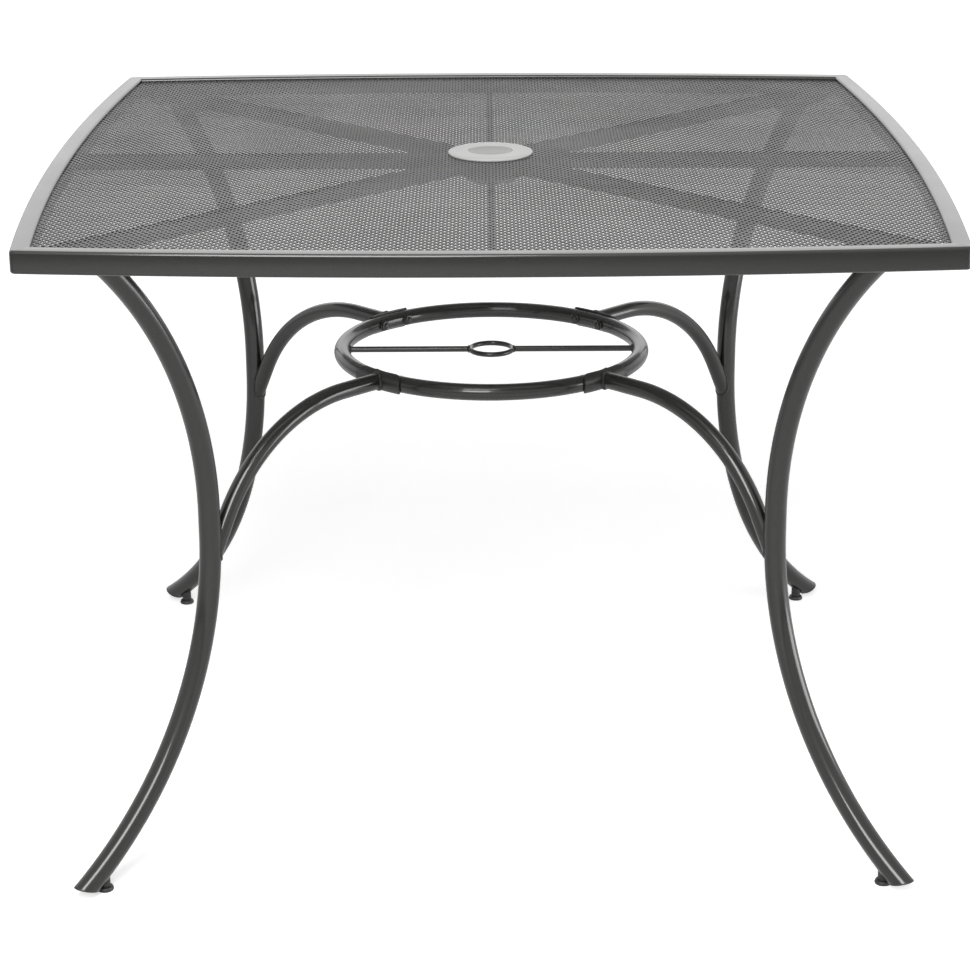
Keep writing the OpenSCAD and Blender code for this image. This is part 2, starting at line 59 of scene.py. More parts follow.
CORNERS = {"front_left": 225, "front_right": 315, "back_right": 45, "back_left": 135}
SIDES = {"right": 0, "back": 90, "left": 180, "front": 270}
QUARTERS = {"front_left": (-1, -1), "front_right": (1, -1), "back_right": (1, 1), "back_left": (-1, 1)}
RAIL_LOW, RAIL_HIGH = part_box("rim_rail_right")
WHITE = (1.0, 1.0, 1.0, 1.0)

# Name, place, aim, size and watts of each lamp
LAMPS = [
    ("Back sky", (0.0, 4.6, 2.2), (0.0, 0.3, 0.72), (6.0, 1.6), 13.5),
    ("Front strip", (-0.5, -2.6, 2.5), (0.0, -0.2, 0.3), (1.10, 2.6), 105.0),
    ("Top box", (0.0, -0.9, 3.0), (0.0, 0.0, 0.4), (2.8, 0.5), 8.0),
    ("Right panel", (3.0, -0.6, 0.65), (0.0, 0.0, 0.45), (1.8, 1.2), 44.0),
]

# For each slot: the material's name, its colour, the flecks' colour or their share of it, the lowest and highest
# roughness, and what differs from the plain coat
FINISHES = {
    "frame": ("Frame paint", "paint", "paint_light", (0.27, 0.34), {"coat_weight": 0.70, "specular": 0.20}),
    "saddle": ("Saddle paint", "paint", "paint_light", (0.36, 0.48), {"skin": (420.0, 0.00006)}),
    "mesh": ("Mesh paint", "mesh_paint", "mesh_light", (0.36, 0.48), {"fleck_size": 260.0, "coat_weight": 0.1}),
    "dark_nut": ("Nut paint", "paint", "paint_light", (0.22, 0.30), {}),
    "flange": ("Flange plastic", "flange", 0.94, (0.38, 0.46), {"skin": (1400.0, 0.00001)}),
    "plug": ("Plug plastic", "plug", 0.93, (0.42, 0.52), {"skin": (1100.0, 0.000015)}),
    "black_plastic": ("Black plastic", "plastic", 1.6, (0.45, 0.58), {"skin": (1300.0, 0.00003)}),
    "bolt_steel": ("Zinc", "steel", 0.8, (0.28, 0.42), {"metallic": 1.0, "fleck_size": 1500.0}),
}


def length(name, default, description):
    return bpy.props.FloatProperty(name=name, default=default, description=description, unit="LENGTH",
                                   precision=5, min=0.0)


def colour(name, default, description):
    return bpy.props.FloatVectorProperty(name=name, default=default, description=description, size=4,
                                         subtype="COLOR", min=0.0, max=1.0)


def number(name, default, description):
    return bpy.props.FloatProperty(name=name, default=default, description=description, precision=3)


class TopSizes(bpy.types.PropertyGroup):
    top_height: length("Top height", RAIL_HIGH.z, "Height of the rim's top face")
    side: length("Side", 0.954, "Length of a side from corner to corner")
    bow: length("Bow", 0.023, "How far the middle of a side bows outwards")
    rail_width: length("Rail width", 0.020, "Width of a rim rail seen from above")
    rail_edge: length("Rail edge", 0.003, "Rounding of a rim rail's long edges")
    corner: length("Corner", 0.006, "Rounding of the rim's outer corners")
    mesh_drop: length("Mesh depth", 0.004, "Depth of the expanded metal below the rim's top")
    mesh_thickness: length("Mesh thickness", 0.00122, "Thickness of the sheet that the strands are cut from")
    diamond_width: length("Diamond width", 0.0077, "Repeat of the diamonds from left to right")
    diamond_length: length("Diamond length", 0.0117, "Repeat of the diamonds from front to back")
    strand_width: length("Strand width", 0.00174, "Width of a strand across its own length")
    knuckle_width: length("Knuckle width", 0.0028, "Width of the knuckle where the strands meet")
    strand_lean: length("Strand lean", 0.00003, "Rise of a strand's left edge over the middle of the sheet")
    sleeve: length("Sleeve hole", 0.056, "Diameter of the hole in the mesh for the flange's sleeve")


class TubeSizes(bpy.types.PropertyGroup):
    leg: length("Leg tube", 0.024, "Diameter of the leg tube")
    leg_reach: length("Leg reach", 0.437, "Distance of a leg's upright stretch from the middle")
    leg_low: length("Lower bend height", 0.370, "Height at which the lower bend starts")
    leg_low_bend: length("Lower bend", 0.435, "Radius of the lower bend")
    leg_up: length("Upper bend height", 0.395, "Height at which the upper bend starts")
    leg_up_bend: length("Upper bend", 0.42505, "Radius of the upper bend")
    leg_top: length("Leg top", 0.7055, "Height of the leg's upper end")
    leg_end: length("Leg end", 0.006, "Height of the lowest edge of a leg's cut end")
    leg_end_slope: number("Leg end slope", 20.0, "Slope of a leg's cut end, in degrees")
    cap: length("End cap", 0.002, "Thickness of the end cap's rim")
    hoop_height: length("Hoop height", 0.490, "Height of the hoop's centre line")
    hoop: length("Hoop", 0.177, "Radius of the hoop's centre line")
    hoop_tube: length("Hoop tube", 0.019, "Diameter of the hoop and brace tubes")
    brace_bend: length("Brace bend", 0.200, "Radius of a brace's bend")
    brace_short: length("Brace offset", 0.001, "Distance of a brace's bend from the leg's axis")
    brace_lean: number("Brace lean", 28.0, "Lean of a brace's straight end outwards from the upright, in degrees")
    brace_foot: length("Brace foot", 0.3350, "Height at which a brace ends inside its leg")
    rod: length("Cross rod", 0.007, "Diameter of the rods in the hoop")
    guide: length("Guide ring", 0.050, "Diameter of the guide ring's centre line")
    guide_wire: length("Guide wire", 0.006, "Diameter of the guide ring's wire")
    weld: length("Weld", 0.0022, "Half width of a weld bead")


class FittingSizes(bpy.types.PropertyGroup):
    saddle_sheet: length("Saddle sheet", 0.0025, "Thickness of a saddle")
    saddle_length: length("Saddle length", 0.072, "Length of a saddle along the hoop")
    saddle_wrap: number("Saddle wrap", 80.0, "Degrees that a saddle wraps above and below the hoop's middle")
    saddle_corner: length("Saddle corner", 0.012, "Rounding of a saddle's corners")
    nut_seat: length("Nut seat", 0.1673, "Distance of the domed nuts' seats from the middle")
    nut_spread: number("Nut spread", 6.8, "Degrees between a corner's diagonal and a domed nut")
    nut_flats: length("Nut flats", 0.010, "Width across the flats of a nut")
    nut_flange: length("Nut flange", 0.013, "Diameter of a domed nut's flange")
    flange: length("Flange", 0.098, "Diameter of the parasol flange")
    flange_top: length("Flange top", 0.7296, "Height of the flange's top face")
    bore: length("Bore", 0.042, "Diameter of the pole bore")
    plug: length("Plug", 0.0505, "Diameter of the plug's cap")
    foot_reach: length("Foot reach", 0.603003, "Distance of a foot from the middle")
    pad: length("Pad", 0.019, "Diameter of a foot's pad")
    pad_height: length("Pad height", 0.005, "Height of a foot's pad")


class Finishes(bpy.types.PropertyGroup):
    paint: colour("Paint", (0.0095, 0.0095, 0.0085, 1.0), "Anthracite powder coat")
    paint_light: colour("Paint, light", (0.0138, 0.0138, 0.0123, 1.0), "The lighter flecks in the coat")
    mesh_paint: colour("Mesh paint", (0.0475, 0.0475, 0.0470, 1.0), "Coat on the expanded metal")
    mesh_light: colour("Mesh paint, light", (0.076, 0.076, 0.0752, 1.0), "The lighter strands")
    flange: colour("Flange", (0.49, 0.49, 0.4855, 1.0), "Pale grey of the flange")
    plug: colour("Plug", (0.335, 0.335, 0.3315, 1.0), "Grey of the plug")
    plastic: colour("Plastic", (0.012, 0.012, 0.012, 1.0), "Black plastic of the feet and caps")
    steel: colour("Steel", (0.55, 0.55, 0.54, 1.0), "Zinc on the hidden bolts")
    floor: colour("Floor", (0.88, 0.88, 0.88, 1.0), "Pale floor")


class StageSettings(bpy.types.PropertyGroup):
    camera: bpy.props.FloatVectorProperty(name="Camera", default=(-0.00784, -3.02271, 1.36104), size=3,
                                          subtype="TRANSLATION", description="Place of the camera")
    look: bpy.props.FloatVectorProperty(name="Look", default=(0.016780, 0.945139, -0.326236), size=3,
                                        subtype="DIRECTION", description="Direction of the view")
    roll: number("Roll", -0.00004, "Roll of the camera, in radians")
    lens: number("Lens", 97.94, "Focal length in millimetres")
    shift: number("Shift", -0.0463, "Sideways shift of the frame")
    world: number("World", 0.24, "Strength of the even light from all round")


def link(mesh, name, slot, *nodes, body="table"):
    """Links a finished mesh as a piece that rides on its body and hides the nodes it stands for."""
    mesh.name = name
    mesh.materials.clear()
    mesh.materials.append(material(slot))
    piece = bpy.data.objects.new(name, mesh)
    bpy.context.scene.collection.objects.link(piece)
    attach(piece, body)
    if nodes:
        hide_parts(*nodes)
    return piece


def link_round(places, *pieces):
    """Links copies of pieces that were made along +X, each with its name, slot and node, at each side or corner."""
    for place, degrees in places.items():
        for mesh, name, slot, node in pieces:
            copy = mesh.copy()
            copy.transform(turned(degrees))
            link(copy, name + place, slot, node + place)


def plain(work):
    """The bmesh as a new mesh."""
    mesh = bpy.data.meshes.new("Shape")
    work.to_mesh(mesh)
    work.free()
    return mesh


def to_mesh(work, crease=35.0):
    """The bmesh as a mesh with outward faces, smooth but for edges sharper than the crease."""
    bmesh.ops.remove_doubles(work, verts=work.verts, dist=1e-6)
    bmesh.ops.recalc_face_normals(work, faces=work.faces)
    mesh = plain(work)
    mesh.shade_smooth()
    mesh.set_sharp_from_angle(angle=math.radians(crease))
    return mesh


def turned(degrees):
    return Matrix.Rotation(math.radians(degrees), 4, "Z")


def loft(work, loops):
    """Skins a row of closed loops that have the same number of points."""
    for loop, after in zip(loops, loops[1:]):
        for k in range(len(loop)):
            work.faces.new([loop[k - 1], loop[k], after[k], after[k - 1]])


def lathe(work, profile, steps=96, closed=False):
    """Adds a turned shape. A closed profile makes a ring; an open one starts and ends on the axis."""
    rings = []
    for radius, height in profile:
        if radius < 1e-7:
            rings.append([work.verts.new((0.0, 0.0, height))])
            continue
        rings.append([work.verts.new((radius * math.cos(a), radius * math.sin(a), height))
                      for a in (2 * math.pi * i / steps for i in range(steps))])
    pairs = list(zip(rings, rings[1:]))
    if closed:
        pairs.append((rings[-1], rings[0]))
    for low, high in pairs:
        for i in range(steps):
            j = (i + 1) % steps
            corners = [low[i % len(low)], low[j % len(low)], high[j % len(high)], high[i % len(high)]]
            corners = [v for k, v in enumerate(corners) if v not in corners[:k]]
            if len(corners) > 2:
                work.faces.new(corners)


def rounded(points, radii, steps=4):
    """A flat outline with each corner rounded by its own radius."""
    out = []
    for i, (point, radius) in enumerate(zip(points, radii)):
        here = Vector(point)
        if radius <= 0.0:
            out.append(tuple(here))
            continue
        before = (Vector(points[i - 1]) - here).normalized()
        after = (Vector(points[(i + 1) % len(points)]) - here).normalized()
        half = before.angle(after) / 2
        reach = radius / math.tan(half)
        centre = here + (before + after).normalized() * radius / math.sin(half)
        start, end = here + before * reach - centre, here + after * reach - centre
        for k in range(steps + 1):
            blend = start.lerp(end, k / steps).normalized() * radius
            out.append(tuple(centre + blend))
    return out


class Tree:
    """A Geometry Nodes tree with named inputs, built node by node."""

    def __init__(self, name, inputs):
        self.group = bpy.data.node_groups.new(name, "GeometryNodeTree")
        face = self.group.interface
        face.new_socket("Geometry", in_out="INPUT", socket_type="NodeSocketGeometry")
        self.sockets = {}
        for label, kind, value in inputs:
            socket = face.new_socket(label, in_out="INPUT", socket_type="NodeSocket" + kind)
            socket.default_value = value
            self.sockets[label] = socket.identifier
        face.new_socket("Geometry", in_out="OUTPUT", socket_type="NodeSocketGeometry")
        self.start = self.group.nodes.new("NodeGroupInput")
        self.end = self.group.nodes.new("NodeGroupOutput")

    def __getitem__(self, label):
        return self.start.outputs[label]

    def add(self, kind, *values, output=0, **settings):
        """Adds a node, sets its properties, and feeds its inputs in order; None leaves one alone."""
        node = self.group.nodes.new(kind)
        for key, value in settings.items():
            setattr(node, key, value)
        free = [s for s in node.inputs if s.enabled]
        for socket, value in zip(free, values):
            if isinstance(value, bpy.types.NodeSocket):
                self.group.links.new(value, socket)
            elif value is not None:
                socket.default_value = value
        return [s for s in node.outputs if s.enabled][output]

    def math(self, operation, *values):
        return self.add("ShaderNodeMath", *values, operation=operation)

    def finish(self, geometry, slot):
        """Ends the tree with real geometry in the slot's material."""
        real = self.add("GeometryNodeRealizeInstances", geometry)
        painted = self.add("GeometryNodeSetMaterial", real, None, material(slot))
        self.group.links.new(painted, self.end.inputs[0])

    def apply(self, data, **values):
        """Runs the tree on a mesh or curve and returns the result as a plain mesh."""
        carrier = bpy.data.objects.new(self.group.name, data)
        bpy.context.scene.collection.objects.link(carrier)
        modifier = carrier.modifiers.new("Build", "NODES")
        modifier.node_group = self.group
        for label, value in values.items():
            modifier[self.sockets[label.replace("_", " ").capitalize()]] = value
        view = bpy.context.evaluated_depsgraph_get()
        mesh = bpy.data.meshes.new_from_object(carrier.evaluated_get(view), depsgraph=view)
        carrier.modifiers.clear()
        bpy.data.objects.remove(carrier)
        return mesh


def diamond_tree():
    """Copies of one knuckle with its four half strands, staggered inside the bowed rim."""
    tree = Tree("Expanded metal", [
        ("Width", "Float", 0.0077), ("Length", "Float", 0.0117), ("Rim radius", "Float", 5.0),
        ("Rim centre", "Float", 4.5), ("Hole", "Float", 0.03), ("Right", "Float", 1.0), ("Back", "Float", 1.0),
        ("Columns", "Int", 60), ("Rows", "Int", 40), ("Level", "Float", 0.72),
    ])
    width, long = tree["Width"], tree["Length"]
    across = tree.math("MULTIPLY", tree.math("SUBTRACT", tree["Columns"], 1.0), width)
    along = tree.math("MULTIPLY", tree.math("SUBTRACT", tree["Rows"], 1.0), long)
    grid = tree.add("GeometryNodeMeshGrid", across, along, tree["Columns"], tree["Rows"])
    layers = []
    # Two grids half a diamond apart; the shift along changes side with the quarter, so the four quarters join
    for shift in (0.25, 0.75):
        mid_x = tree.math("MULTIPLY_ADD", across, 0.5, tree.math("MULTIPLY", width, shift))
        turn = tree.math("MULTIPLY", tree.math("MULTIPLY", tree["Right"], tree["Back"]), shift - 0.5)
        mid_y = tree.math("MULTIPLY_ADD", along, 0.5, tree.math("MULTIPLY", long, tree.math("ADD", turn, 0.5)))
        place = tree.add("ShaderNodeCombineXYZ", tree.math("MULTIPLY", mid_x, tree["Right"]),
                         tree.math("MULTIPLY", mid_y, tree["Back"]), tree["Level"])
        layers.append(tree.add("GeometryNodeSetPosition", grid, None, None, place))
    points = tree.group.nodes.new("GeometryNodeJoinGeometry")
    for layer in layers:
        tree.group.links.new(layer, points.inputs[0])
    flat = tree.add("ShaderNodeSeparateXYZ", tree.add("GeometryNodeInputPosition")).node
    size_x = tree.math("ABSOLUTE", flat.outputs[0])
    size_y = tree.math("ABSOLUTE", flat.outputs[1])

    def reach(a, b):
        return tree.math("SQRT", tree.math("ADD", tree.math("MULTIPLY", a, a), tree.math("MULTIPLY", b, b)))

    inside_x = tree.math("LESS_THAN", reach(tree.math("ADD", size_x, tree["Rim centre"]), size_y), tree["Rim radius"])
    inside_y = tree.math("LESS_THAN", reach(tree.math("ADD", size_y, tree["Rim centre"]), size_x), tree["Rim radius"])
    outside = tree.math("GREATER_THAN", reach(size_x, size_y), tree["Hole"])
    keep = tree.math("MULTIPLY", tree.math("MULTIPLY", inside_x, inside_y), outside)
    tree.finish(tree.add("GeometryNodeInstanceOnPoints", points.outputs[0], keep, tree["Geometry"]), "mesh")
    return tree


def nut_tree():
    """Two copies of a nut at each corner's diagonal, on a circle round the table's axis."""
    tree = Tree("Domed nuts", [
        ("Seat", "Float", 0.1), ("Spread", "Float", 0.0), ("Lean", "Float", 0.0), ("Level", "Float", 0.0)])
    points = tree.add("GeometryNodePoints", 2 * len(CORNERS))
    index = tree.add("GeometryNodeInputIndex")
    corner = tree.math("FLOOR", tree.math("DIVIDE", index, 2.0))
    side = tree.math("MULTIPLY_ADD", tree.math("MODULO", index, 2.0), 2.0, -1.0)
    angle = tree.math("ADD", tree.math("MULTIPLY_ADD", corner, math.pi / 2, math.pi / 4),
                      tree.math("MULTIPLY", side, tree["Spread"]))
    place = tree.add("ShaderNodeCombineXYZ", tree.math("MULTIPLY", tree["Seat"], tree.math("COSINE", angle)),
                     tree.math("MULTIPLY", tree["Seat"], tree.math("SINE", angle)), tree["Level"])
    turn = tree.add("ShaderNodeCombineXYZ", 0.0, tree["Lean"], angle)
    placed = tree.add("GeometryNodeSetPosition", points, None, place)
    tree.finish(tree.add("GeometryNodeInstanceOnPoints", placed, None, tree["Geometry"], None, None, turn), "dark_nut")
    return tree


def tube_tree():
    """A round tube along a curve."""
    tree = Tree("Bent tube", [("Radius", "Float", 0.01), ("Sides", "Int", 48)])
    section = tree.add("GeometryNodeCurvePrimitiveCircle", tree["Sides"], tree["Radius"])
    tube = tree.add("GeometryNodeCurveToMesh", tree["Geometry"], section)
    tube.node.inputs["Fill Caps"].default_value = True
    tree.finish(tree.add("GeometryNodeSetShadeSmooth", tube), "frame")
    return tree


def weld_tree():
    """A rippled bead: flattened beads strung along a curve, each turned to follow it."""
    tree = Tree("Weld bead", [("Radius", "Float", 0.002), ("Step", "Float", 0.0016), ("Seed", "Int", 1)])
    points = tree.group.nodes.new("GeometryNodeCurveToPoints")
    points.mode = "LENGTH"
    tree.group.links.new(tree["Geometry"], points.inputs["Curve"])
    tree.group.links.new(tree["Step"], points.inputs["Length"])
    bead = tree.add("GeometryNodeMeshIcoSphere", 1.0, 2)
    uneven = tree.add("FunctionNodeRandomValue", 0.86, 1.14, data_type="FLOAT")
    tree.group.links.new(tree["Seed"], uneven.node.inputs["Seed"])
    size = tree.math("MULTIPLY", uneven, tree["Radius"])
    shape = tree.add("ShaderNodeCombineXYZ", size, size, tree.math("MULTIPLY", size, 0.6))
    copies = tree.group.nodes.new("GeometryNodeInstanceOnPoints")
    for value, socket in ((points.outputs["Points"], "Points"), (bead, "Instance"),
                          (points.outputs["Rotation"], "Rotation"), (shape, "Scale")):
        tree.group.links.new(value, copies.inputs[socket])
    smooth = tree.add("GeometryNodeSetShadeSmooth", tree.add("GeometryNodeRealizeInstances", copies.outputs[0]))
    tree.finish(smooth, "saddle")
    return tree


def path(points, cyclic=False):
    """A curve through the points."""
    data = bpy.data.curves.new("Path", "CURVE")
    data.dimensions = "3D"
    spline = data.splines.new("POLY")
    spline.points.add(len(points) - 1)
    for target, point in zip(spline.points, points):
        target.co = (*point, 1.0)
    spline.use_cyclic_u = cyclic
    return data


def circle(radius, level, steps):
    """A closed level curve round the table's axis."""
    angles = (2 * math.pi * i / steps for i in range(steps))
    return path([(radius * math.cos(a), radius * math.sin(a), level) for a in angles], True)


def arc(centre, radius, start, end, steps):
    """Points on an arc in the plane of distance and height; angles in degrees from outwards to up."""
    spots = []
    for i in range(steps + 1):
        a = math.radians(start + (end - start) * i / steps)
        spots.append(Vector((centre[0] + radius * math.cos(a), 0.0, centre[1] + radius * math.sin(a))))
    return spots


def bow_arc(top):
    """Radius of a side's bow, and how far its centre lies beyond the table's middle."""
    half = top.side / 2
    radius = (half ** 2 + top.bow ** 2) / (2 * top.bow)
    return radius, radius - half - top.bow


def brace_start(tubes):
    """Distance from the middle at which a brace leaves the hoop's level and starts its bend."""
    return tubes.leg_reach - tubes.brace_short - tubes.brace_bend


def brace_line(tubes, steps):
    """A brace's bend and its straight end, which runs into the leg."""
    bend = arc((brace_start(tubes), tubes.hoop_height - tubes.brace_bend), tubes.brace_bend, 90, tubes.brace_lean,
               steps)
    lean = math.radians(tubes.brace_lean)
    run = (bend[-1].z - tubes.brace_foot) / math.cos(lean)
    way = Vector((math.sin(lean), 0.0, -math.cos(lean)))
    return bend + [bend[-1] + way * run * i / (steps // 4) for i in range(1, steps // 4 + 1)]


def feed(tree, node, feeds):
    """Gives a shader node's inputs a value or another node's output each."""
    for label, value in feeds.items():
        if isinstance(value, bpy.types.NodeSocket):
            tree.links.new(value, node.inputs[label])
        else:
            node.inputs[label].default_value = value


def shade(tree, kind, feeds=None, **settings):
    """Adds a shader node, sets its properties and feeds its inputs; returns its outputs."""
    node = tree.nodes.new("ShaderNode" + kind)
    for key, value in settings.items():
        setattr(node, key, value)
    feed(tree, node, feeds or {})
    return node.outputs


def coat_group():
    """Fine-grained coat: flecks of a second colour, uneven gloss and an orange-peel skin."""
    group = bpy.data.node_groups.new("Fine coat", "ShaderNodeTree")
    face = group.interface
    for label, kind, value in (
            ("Color", "Color", (0.05, 0.05, 0.05, 1.0)), ("Fleck color", "Color", (0.07, 0.07, 0.07, 1.0)),
            ("Fleck size", "Float", 900.0), ("Gloss low", "Float", 0.3), ("Gloss high", "Float", 0.4),
            ("Skin size", "Float", 700.0), ("Skin depth", "Float", 0.00002)):
        face.new_socket(label, in_out="INPUT", socket_type="NodeSocket" + kind).default_value = value
    for label, kind in (("Color", "Color"), ("Roughness", "Float"), ("Normal", "Vector")):
        face.new_socket(label, in_out="OUTPUT", socket_type="NodeSocket" + kind)
    given, end = group.nodes.new("NodeGroupInput").outputs, group.nodes.new("NodeGroupOutput")
    where = shade(group, "TexCoord")["Object"]
    fleck = shade(group, "TexNoise", {"Vector": where, "Scale": given["Fleck size"], "Detail": 3.0})
    skin = shade(group, "TexNoise", {"Vector": where, "Scale": given["Skin size"], "Detail": 2.0})
    cloud = shade(group, "TexNoise", {"Vector": where, "Scale": 9.0})
    sharpen = shade(group, "MapRange", {"Value": fleck["Fac"], "From Min": 0.35, "From Max": 0.72})
    first, second, mixed = 6, 7, 2  # the colour sockets of a Mix node
    tint = shade(group, "Mix", {"Factor": sharpen["Result"], first: given["Color"], second: given["Fleck color"]},
                 data_type="RGBA")
    gloss = shade(group, "MapRange", {"Value": cloud["Fac"], "From Min": 0.3, "From Max": 0.7,
                                      "To Min": given["Gloss low"], "To Max": given["Gloss high"]})
    bump = shade(group, "Bump", {"Height": skin["Fac"], "Distance": given["Skin depth"]})
    feed(group, end, {"Color": tint[mixed], "Roughness": gloss["Result"], "Normal": bump["Normal"]})
    return group


def coated(name, base, fleck, gloss, skin=(700.0, 0.00002), fleck_size=900.0, metallic=0.0, coat_weight=0.0,
           specular=0.5):
    """A material that places the fine coat with its own values."""
    coat = bpy.data.node_groups.get("Fine coat") or coat_group()
    paint = bpy.data.materials.new(name)
    paint.use_nodes = True
    tree = paint.node_tree
    use = shade(tree, "Group", {
        "Color": base, "Fleck color": fleck, "Fleck size": fleck_size, "Gloss low": gloss[0], "Gloss high": gloss[1],
        "Skin size": skin[0], "Skin depth": skin[1]}, node_tree=coat)
    feed(tree, tree.nodes["Principled BSDF"], {
        "Base Color": use["Color"], "Roughness": use["Roughness"], "Normal": use["Normal"], "Metallic": metallic,
        "Coat Weight": coat_weight, "Coat Roughness": 0.10, "Specular IOR Level": specular})
    paint.diffuse_color = base
    return paint


def material(slot):
    """The slot's material, made the first time that it is asked for."""
    name, base, fleck, gloss, rest = FINISHES[slot]
    if name in bpy.data.materials:
        return bpy.data.materials[name]
    looks = bpy.context.scene.table_finishes
    base = tuple(getattr(looks, base))
    fleck = tuple(getattr(looks, fleck)) if isinstance(fleck, str) else tuple(c * fleck for c in base)
    return coated(name, base, fleck, gloss, **rest)


class TABLE_OT_stage(bpy.types.Operator):
    """Makes the camera, the lamps, the world and the pale floor"""
    bl_idname = "table.stage"
    bl_label = "Stage"

    def execute(self, context):
        scene = context.scene
        values = scene.table_stage
        lens = bpy.data.cameras.new("Camera")
        lens.lens, lens.sensor_width = values.lens, 36.0
        lens.shift_x = values.shift
        lens.clip_start, lens.clip_end = 0.05, 60.0
        camera = bpy.data.objects.new("Camera", lens)
        turn = Vector(values.look).to_track_quat("-Z", "Y").to_matrix().to_4x4()
        camera.matrix_world = Matrix.Translation(values.camera) @ turn @ Matrix.Rotation(values.roll, 4, "Z")
        scene.collection.objects.link(camera)
        scene.camera = camera
        for name, place, aim, size, watts in LAMPS:
            data = bpy.data.lights.new(name, "AREA")
            data.shape, data.size, data.size_y = "RECTANGLE", *size
            data.energy = watts
            lamp = bpy.data.objects.new(name, data)
            away = Vector(aim) - Vector(place)
            lamp.matrix_world = Matrix.Translation(place) @ away.to_track_quat("-Z", "Y").to_matrix().to_4x4()
            scene.collection.objects.link(lamp)
        self.world(scene, values.world)
        self.floor(scene)
        scene.view_settings.view_transform = "Standard"
        return {"FINISHED"}

    def seen(self, tree, to_camera, to_gloss):
        """How white the background shows to the camera and in gloss or glass; no lamp light comes from it."""
        ray = shade(tree, "LightPath")
        total = 0.0
        for label, share in (("Is Camera Ray", to_camera), ("Is Glossy Ray", to_gloss),
                             ("Is Transmission Ray", to_gloss)):
            total = shade(tree, "Math", {0: ray[label], 1: share, 2: total}, operation="MULTIPLY_ADD")[0]
        return total

    def world(self, scene, strength):
        """Even light from all round, which shows as plain white."""
        world = bpy.data.worlds.new("Studio")
        world.use_nodes = True
        scene.world = world
        tree = world.node_tree
        even = tree.nodes["Background"]
        feed(tree, even, {"Color": WHITE, "Strength": strength})
        white = shade(tree, "Background", {"Color": WHITE, "Strength": 1.0})
        mix = shade(tree, "MixShader", {"Fac": self.seen(tree, 1.0, 1.0), 1: even.outputs[0], 2: white[0]})
        feed(tree, tree.nodes["World Output"], {"Surface": mix[0]})

    def floor(self, scene):
        """A pale floor that glows a little less under the table, so that a faint shadow stays."""
        work = bmesh.new()
        bmesh.ops.create_grid(work, x_segments=1, y_segments=1, size=25.0)
        plane = bpy.data.objects.new("Floor", plain(work))
        pale = bpy.data.materials.new("Pale floor")
        pale.use_nodes = True
        tree = pale.node_tree
        shader = tree.nodes["Principled BSDF"]
        feed(tree, shader, {"Base Color": scene.table_finishes.floor, "Roughness": 0.9, "Specular IOR Level": 0.1})
        reach = shade(tree, "VectorMath", {0: shade(tree, "TexCoord")["Object"]}, operation="LENGTH")
        fade = shade(tree, "MapRange", {"Value": reach["Value"], "From Min": 0.8, "From Max": 3.2, "To Min": 0.68,
                                        "To Max": 1.0}, interpolation_type="SMOOTHSTEP")
        glow = shade(tree, "Emission", {"Color": fade["Result"], "Strength": self.seen(tree, 0.84, 0.24)})
        add = shade(tree, "AddShader", {0: shader.outputs[0], 1: glow[0]})
        feed(tree, tree.nodes["Material Output"], {"Surface": add[0]})
        plane.data.materials.append(pale)
        scene.collection.objects.link(plane)


class TABLE_OT_paint(bpy.types.Operator):
    """Gives the nodes that are kept as they are their finish"""
    bl_idname = "table.paint"
    bl_label = "Paint the kept nodes"

    def execute(self, context):
        for part in frame["record"]["subparts"]:
            node = frame["nodes"][part["node"]]
            paint = material(part["material_slot"])
            if not node.material_slots:
                node.data.materials.append(paint)
            for slot in node.material_slots:
                slot.material = paint
        return {"FINISHED"}


class TABLE_OT_rails(bpy.types.Operator):
    """Bends the four bowed rim rails and rounds their edges and the corners of the top"""
    bl_idname = "table.rails"
    bl_label = "Rim rails"

    def line(self, top, inset):
        """The rail's right-hand line at a distance inwards from its outer face, from mitre to mitre."""
        bow_steps, corner_steps = 60, 8
        radius, centre = bow_arc(top)
        corner = (math.sqrt(2 * (radius - top.corner) ** 2 - centre ** 2) - centre) / 2
        touch = math.atan2(corner, corner + centre)
        reach = radius - inset
        mitre = math.acos(centre / (math.sqrt(2) * reach)) - math.pi / 4
        end = min(touch, mitre)
        turns = [end * i / bow_steps for i in range(bow_steps + 1)]
        spots = [(reach * math.cos(a) - centre, reach * math.sin(a)) for a in turns]
        small = max(0.0, top.corner - inset)
        for i in range(1, corner_steps + 1):
            a = touch + (math.pi / 4 - touch) * i / corner_steps
            spots.append((corner + small * math.cos(a), corner + small * math.sin(a)) if small else spots[bow_steps])
        return [(x, -y) for x, y in spots[:0:-1]] + spots

    def execute(self, context):
        top = context.scene.table_top
        low, high, wide = RAIL_LOW.z, top.top_height, top.rail_width
        section = rounded([(0.0, low), (0.0, high), (wide, high), (wide, low)], [top.rail_edge] * 4, 6)
        work = bmesh.new()
        rings = [[work.verts.new((*spot, level)) for spot in self.line(top, inset)] for inset, level in section]
        loops = list(zip(*rings))
        loft(work, loops)
        work.faces.new(loops[0])
        work.faces.new(loops[-1][::-1])
        link_round(SIDES, (to_mesh(work), "rim_side_", "frame", "rim_rail_"))
        return {"FINISHED"}


